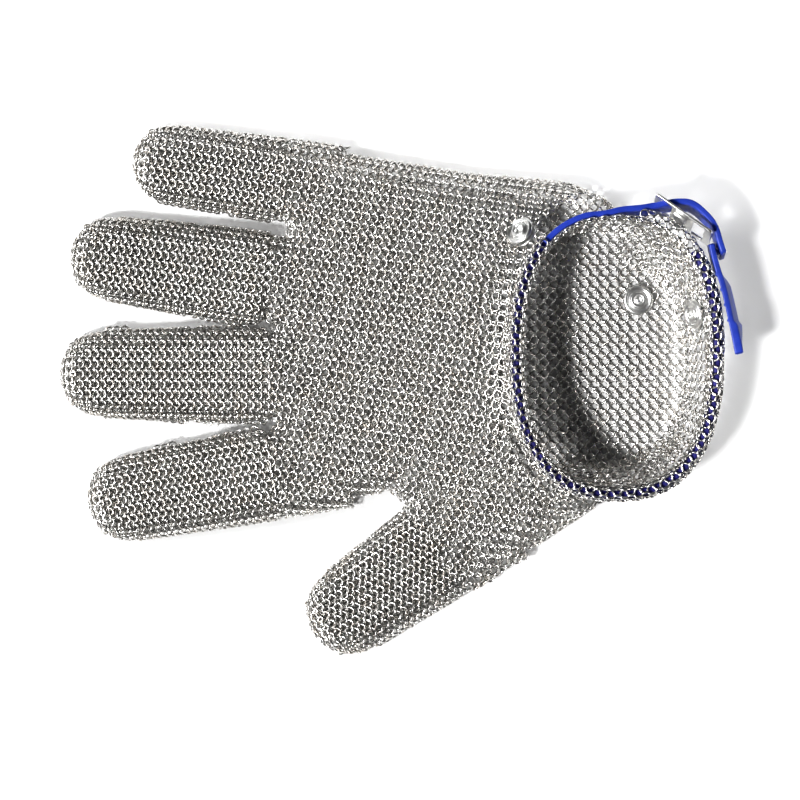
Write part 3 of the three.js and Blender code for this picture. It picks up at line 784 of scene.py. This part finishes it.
# A band's ends are rounded: (distance in from the end, loss on every side)
END_EASE = ((0.0, 0.62), (0.14, 0.3), (0.5, 0.0))


def swept(name, plan, top, left, right, shift, material, body):
    """A band on edge along a route.

    Its thickness to the left and right of the route varies along it, and shift moves its lower edge in plan.
    """
    tangent = np.gradient(plan, axis=0)
    tangent /= np.linalg.norm(tangent, axis=1)[:, None]
    sideways = np.column_stack([-tangent[:, 1], tangent[:, 0]])
    rows = []
    count = len(plan)

    def add_row(i, back, shrink):
        section = rounded_section(left[i], right[i], STRAP_WIDTH)
        half_x = (left[i] + right[i]) / 2
        half_z = STRAP_WIDTH / 2
        middle = ((left[i] - right[i]) / 2, -half_z)
        row = []
        for x, z in section:
            x = middle[0] + (x - middle[0]) * (half_x - shrink) / half_x
            z = middle[1] + (z - middle[1]) * (half_z - shrink) / half_z
            place = plan[i] + sideways[i] * x + tangent[i] * back - shift[i] * z / STRAP_WIDTH
            row.append((place[0], place[1], top[i] + z))
        rows.append(row)

    for back, shrink in END_EASE:
        add_row(0, back, shrink)
    for i in range(1, count - 1):
        add_row(i, 0, 0)
    for back, shrink in reversed(END_EASE):
        add_row(count - 1, -back, shrink)
    points = np.array(rows)
    per_row = points.shape[1]
    i = np.arange(len(points) - 1)[:, None] * per_row
    i_next = i + per_row
    j = np.arange(per_row)[None, :]
    j_next = (j + 1) % per_row
    quads = np.stack([i + j, i_next + j, i_next + j_next, i + j_next], axis=-1).reshape(-1, 4)
    mesh = bpy.data.meshes.new(name)
    faces = [tuple(int(v) for v in quad) for quad in quads]
    faces.append(tuple(range(per_row)))
    faces.append(tuple(reversed(range((len(points) - 1) * per_row, len(points) * per_row))))
    mesh.from_pydata([tuple(p) for p in points.reshape(-1, 3) * MM], [], faces)
    mesh.polygons.foreach_set("use_smooth", [len(f) == 4 for f in faces])
    mesh.update()
    piece = bpy.data.objects.new(name, mesh)
    bpy.context.scene.collection.objects.link(piece)
    piece.data.materials.append(material)
    if body:
        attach(piece, body)
    return piece


HALF = STRAP_THICKNESS / 2
STRAP_DROP = (HEM_HEIGHT - STRAP_WIDTH) / 2


def strap_top(x):
    return rim_height(x) - STRAP_DROP


def leaned(points):
    """Points moved in y by their height above the strap's upper edge: everything at the buckle leans."""
    return points + (points[:, 2] - strap_top(points[:, 0]))[:, None] * (0, BUCKLE_LEAN, 0)


def hem_route(start, end, count):
    return [tuple(oval_point(CUFF, degrees, HEM_WIDTH / 2)) for degrees in np.linspace(start, end, count)]


BAND_START = HEM_START + 3
BAND_CHANGE = HEM_END + 2   # where the piece in the hem ends and the free one starts

hem_plan, _ = smooth_route(hem_route(BAND_START, BAND_CHANGE, 56))
same = np.full(len(hem_plan), HALF)
still = np.zeros((len(hem_plan), 2))
hem_top = strap_top(hem_plan[:, 0])
# The strap in the hem takes the darker copy of the blue rubber: painted shade
hem_strap = swept("strap_in_hem", hem_plan, hem_top, same, same, still, PAINTED_SHADE_RUBBER, "hand")
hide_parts("strap_band")

free_plan, _ = smooth_route(hem_route(BAND_CHANGE, STRAP_LEAVES, 8) + STRAP_EXIT + STRAP_ARCH[1:])
same = np.full(len(free_plan), HALF)
lean_grown = smooth((free_plan[:, 0] - STRAP_EXIT[0][0]) / (STRAP_EXIT[-1][0] - STRAP_EXIT[0][0]))
free_shift = lean_grown[:, None] * (0, -BUCKLE_LEAN * STRAP_WIDTH)
free_top = strap_top(free_plan[:, 0])
free_strap = swept("strap_over_buckle", free_plan, free_top, same, same, free_shift, BLUE_RUBBER, "hand")
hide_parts("strap_arch")

TAIL_SPACING = 0.35
TOOTH_DEPTH = 0.55
TOOTH_WIDTH = 0.42
TOOTH_OFFSET = 0.5
PADDLE_RISE = 2.5       # the paddle thickens over this length
LEAN_START = 1          # the tail starts to lean this far past its bend
LEAN_RUN = 8            # and is fully leaned over this length
LEAN_LOST = 0.7         # share of the lean that the paddle loses

tail_plan, tail_run = smooth_route(STRAP_TAIL, TAIL_SPACING)
paddle_start = tail_run[-1] - PADDLE_LENGTH
paddle = smooth((tail_run - paddle_start) / PADDLE_RISE)
teeth = np.zeros(len(tail_run))
for place in np.arange(TAIL_BEND + TOOTH_PITCH / 2, paddle_start, TOOTH_PITCH):
    teeth += TOOTH_DEPTH * np.exp(-((tail_run - place - TOOTH_OFFSET) / TOOTH_WIDTH) ** 2)
tail_lean = TAIL_LEAN * smooth((tail_run - TAIL_BEND - LEAN_START) / LEAN_RUN)
tail_lean *= 1 - LEAN_LOST * smooth((tail_run - paddle_start) / PADDLE_LENGTH)
tail = swept("strap_tail_end", tail_plan, strap_top(tail_plan[:, 0]), HALF + paddle, HALF + teeth,
             tail_lean[:, None] * (1, 0), BLUE_RUBBER, None)
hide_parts("strap_tail", "strap_tail_root")


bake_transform(tail)


# ---- buckle ----

PLATE_FROM = np.array((94.5, 72.0))
PLATE_TO = np.array((115.2, 57.0))
PLATE_HEIGHT = 15
PLATE_THICKNESS = 0.9
PLATE_EDGE = 0.2
SLOT_WIDTH = 5
SLOT_AT = (0.2, 0.78)
SLOT_MARGIN = 1.6
SLOT_CORNER = 0.7
PLATE_CORNER = 1.6
PLATE_ABOVE_RIM = 1.2
plate_length = float(np.linalg.norm(PLATE_TO - PLATE_FROM))
plate_along = (PLATE_TO - PLATE_FROM) / plate_length
plate_top = rim_height((PLATE_FROM[0] + PLATE_TO[0]) / 2) + PLATE_ABOVE_RIM


LOOP_STEPS = 6


def rounded_loop(low, high, radius):
    """A rounded rectangle in the plane."""
    left, right = low[0] + radius, high[0] - radius
    bottom, top = low[1] + radius, high[1] - radius
    loop = []
    for cx, cy, start in ((right, top, 0), (left, top, 90), (left, bottom, 180), (right, bottom, 270)):
        for k in range(LOOP_STEPS + 1):
            a = math.radians(start + 90 * k / LOOP_STEPS)
            loop.append((cx + radius * math.cos(a), cy + radius * math.sin(a)))
    return loop


def flat_plate(name, loops, thickness, edge):
    """A flat sheet with holes and softened edges, lying in its own XY plane."""
    curve = bpy.data.curves.new(name, "CURVE")
    curve.dimensions = "2D"
    curve.fill_mode = "BOTH"
    curve.extrude = (thickness / 2 - edge) * MM
    curve.bevel_depth = edge * MM
    curve.bevel_resolution = 2
    curve.offset = -edge * MM
    for loop in loops:
        spline = curve.splines.new("POLY")
        spline.points.add(len(loop) - 1)
        for point, (x, y) in zip(spline.points, loop):
            point.co = (x * MM, y * MM, 0, 1)
        spline.use_cyclic_u = True
    shape = bpy.data.objects.new(name + "_outline", curve)
    bpy.context.scene.collection.objects.link(shape)
    bpy.context.view_layer.update()
    mesh = bpy.data.meshes.new_from_object(shape.evaluated_get(bpy.context.evaluated_depsgraph_get()))
    bpy.data.objects.remove(shape)
    bpy.data.curves.remove(curve)
    mesh.name = name
    piece = bpy.data.objects.new(name, mesh)
    bpy.context.scene.collection.objects.link(piece)
    return piece


def put_in_place(piece, columns, origin):
    """Puts a piece of the buckle in place: its own axes become the given ones, and then it leans."""
    count = len(piece.data.vertices)
    points = np.empty(count * 3)
    piece.data.vertices.foreach_get("co", points)
    points = points.reshape(-1, 3) / MM @ np.array(columns, float) + origin
    piece.data.vertices.foreach_set("co", leaned(points).ravel() * MM)
    piece.data.update()


slots = [
    rounded_loop((plate_length * share - SLOT_WIDTH / 2, -PLATE_HEIGHT + SLOT_MARGIN),
                 (plate_length * share + SLOT_WIDTH / 2, -SLOT_MARGIN), SLOT_CORNER)
    for share in SLOT_AT
]
plate_edge = rounded_loop((0, -PLATE_HEIGHT), (plate_length, 0), PLATE_CORNER)
plate = flat_plate("buckle_plate_sheet", [plate_edge] + slots, PLATE_THICKNESS, PLATE_EDGE)
inward = np.array((plate_along[1], -plate_along[0]))
put_in_place(plate, [(*plate_along, 0), (0, 0, 1), (*inward, 0)], (*PLATE_FROM, plate_top))
plate.data.materials.append(FITTING_STEEL)
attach(plate, "hand")
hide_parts("buckle_plate")

# The lug's outline: inward from the plate, and up
LUG = [(0, 0), (0.9, 0), (0.9, -5), (2.6, -5), (2.6, -3), (3.4, -3), (3.4, -6), (0, -6)]
LUG_AT = 0.46           # share of the plate's length
LUG_GAP = 0.3
LUG_WIDTH = 5
LUG_DROP = 3
LUG_EDGE = 0.15
lug_origin = PLATE_FROM + (PLATE_TO - PLATE_FROM) * LUG_AT + inward * (PLATE_THICKNESS / 2 + LUG_GAP)
lug = flat_plate("buckle_lug_hook", [LUG], LUG_WIDTH, LUG_EDGE)
put_in_place(lug, [(*inward, 0), (0, 0, 1), (inward[1], -inward[0], 0)], (*lug_origin, plate_top - LUG_DROP))
lug.data.materials.append(FITTING_STEEL)
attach(lug, "hand")
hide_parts("buckle_lug")


# ---- turned parts: snaps and the stud ----

def turned_part(name, profile, at, out, node, steps=48):
    """A steel lathe shape about an axis, from a closed profile of (radius, height) pairs."""
    out = np.array(out, float)
    out /= np.linalg.norm(out)
    side = np.cross(out, (0.31, 0.22, 0.93) if abs(out[2]) < 0.9 else (1, 0, 0))
    side /= np.linalg.norm(side)
    other = np.cross(out, side)
    angle = np.arange(steps) * 2 * math.pi / steps
    spoke = side[None] * np.cos(angle)[:, None] + other[None] * np.sin(angle)[:, None]
    profile = np.array(profile, float)
    points = np.array(at, float) + profile[:, None, :1] * spoke[None] + profile[:, None, 1:] * out
    i = np.arange(len(profile))[:, None] * steps
    i_next = ((np.arange(len(profile)) + 1) % len(profile))[:, None] * steps
    j = np.arange(steps)[None, :]
    j_next = (j + 1) % steps
    quads = np.stack([i + j, i + j_next, i_next + j_next, i_next + j], axis=-1).reshape(-1, 4)
    piece = mesh_piece(name, points.reshape(-1, 3) * MM, quads)
    piece.data.materials.append(FITTING_STEEL)
    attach(piece, "hand")
    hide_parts(node)


AXIS = 0.02             # a profile stops this short of its axis
CAP_PROFILE = [
    (AXIS, 0.3), (5.2, 0.3), (5.5, 0.38), (5.65, 0.6), (5.6, 0.95), (5.35, 1.3), (5.0, 1.5), (4.6, 1.52),
    (4.25, 1.35), (4.0, 1.1), (3.8, 1.0), (3.5, 1.0), (3.3, 1.15), (3.1, 1.6), (2.9, 1.9), (2.6, 2.0),
    (2.0, 2.0), (1.75, 1.9), (1.6, 1.6), (1.5, 0.9), (1.3, 0.7), (AXIS, 0.65),
]
WASHER_PROFILE = [(1.9, -1.1), (5.4, -1.1), (5.65, -1.25), (5.65, -1.8), (5.4, -2.0), (1.9, -2.0)]
POST_PROFILE = [(AXIS, -2.0), (1.6, -2.0), (1.6, 0), (AXIS, 0)]

for name, (at, out) in SNAPS.items():
    turned_part(f"{name}_dome", CAP_PROFILE, at, out, f"{name}_cap")
    turned_part(f"{name}_ring", WASHER_PROFILE, at, out, f"{name}_washer")
    turned_part(f"{name}_stem", POST_PROFILE, at, out, f"{name}_post", steps=24)

STUD_PROFILE = [(AXIS, -1.9), (1.1, -1.85), (1.6, -1.6), (1.6, -1.4), (0.8, -1.35), (0.8, 1.35), (1.6, 1.4),
                (1.6, 1.6), (1.1, 1.85), (AXIS, 1.9)]
arch_last = np.array(STRAP_ARCH[-1])
arch_before = np.array(STRAP_ARCH[-2])
stud_along = (arch_last - arch_before) / np.linalg.norm(arch_last - arch_before)
stud_middle = (arch_last + arch_before) / 2
stud_at = leaned(np.array([(*stud_middle, rim_height(stud_middle[0]) - HEM_HEIGHT / 2)]))[0]
stud_out = (-stud_along[1], stud_along[0], 0)
turned_part("strap_stud_rivet", STUD_PROFILE, stud_at, stud_out, "strap_stud", steps=32)


# ---- stage, light and camera ----

# Metres and watts from here on
FLOOR_HALF = 3
FLOOR_Z = -0.0003


def stage_floor():
    half = FLOOR_HALF
    corners = [(-half, -half, 0), (half, -half, 0), (half, half, 0), (-half, half, 0)]
    mesh = bpy.data.meshes.new("floor")
    mesh.from_pydata(corners, [], [(0, 1, 2, 3)])
    floor = bpy.data.objects.new("floor", mesh)
    bpy.context.scene.collection.objects.link(floor)
    floor.location.z = FLOOR_Z
    floor.data.materials.append(varied("paper", (0.62, 0.62, 0.62), (0.65, 0.65, 0.65), (0.7, 0.8), 3,
                                       bump_strength=0.02))
    return floor


def area_light(name, place, size, power):
    """A square softbox aimed at the glove."""
    light = bpy.data.lights.new(name, "AREA")
    light.energy = power
    light.size = size
    lamp = bpy.data.objects.new(name, light)
    lamp.location = place
    lamp.rotation_euler = (-lamp.location).to_track_quat("-Z", "Y").to_euler()
    bpy.context.scene.collection.objects.link(lamp)
    return lamp


paper = stage_floor()
area_light("key", (-0.95, -0.62, 1.75), 0.32, 43)
area_light("side", (-1.3, 0.3, 1.0), 0.8, 12)
paper_light = area_light("paper_light", (1.8, 0.9, 0.3), 0.8, 130)
# The last light only falls on the paper, and keeps the glove's shadow on it pale
paper_only = bpy.data.collections.new("paper_only")
paper_only.objects.link(paper)
paper_light.light_linking.receiver_collection = paper_only

world = bpy.data.worlds.new("studio")
bpy.context.scene.world = world
world.use_nodes = True
world.node_tree.nodes["Background"].inputs["Color"].default_value = (0.75, 0.76, 0.78, 1)
world.node_tree.nodes["Background"].inputs["Strength"].default_value = 0.01

camera_data = bpy.data.cameras.new("camera")
camera_data.sensor_width = 36
camera_data.lens = 142.6
camera_data.clip_end = 20
camera = bpy.data.objects.new("camera", camera_data)
camera.location = (0, -0.00375, 1.2)
bpy.context.scene.collection.objects.link(camera)
bpy.context.scene.camera = camera
bpy.context.scene.view_settings.view_transform = "Standard"
bpy.context.scene.view_settings.look = "High Contrast"
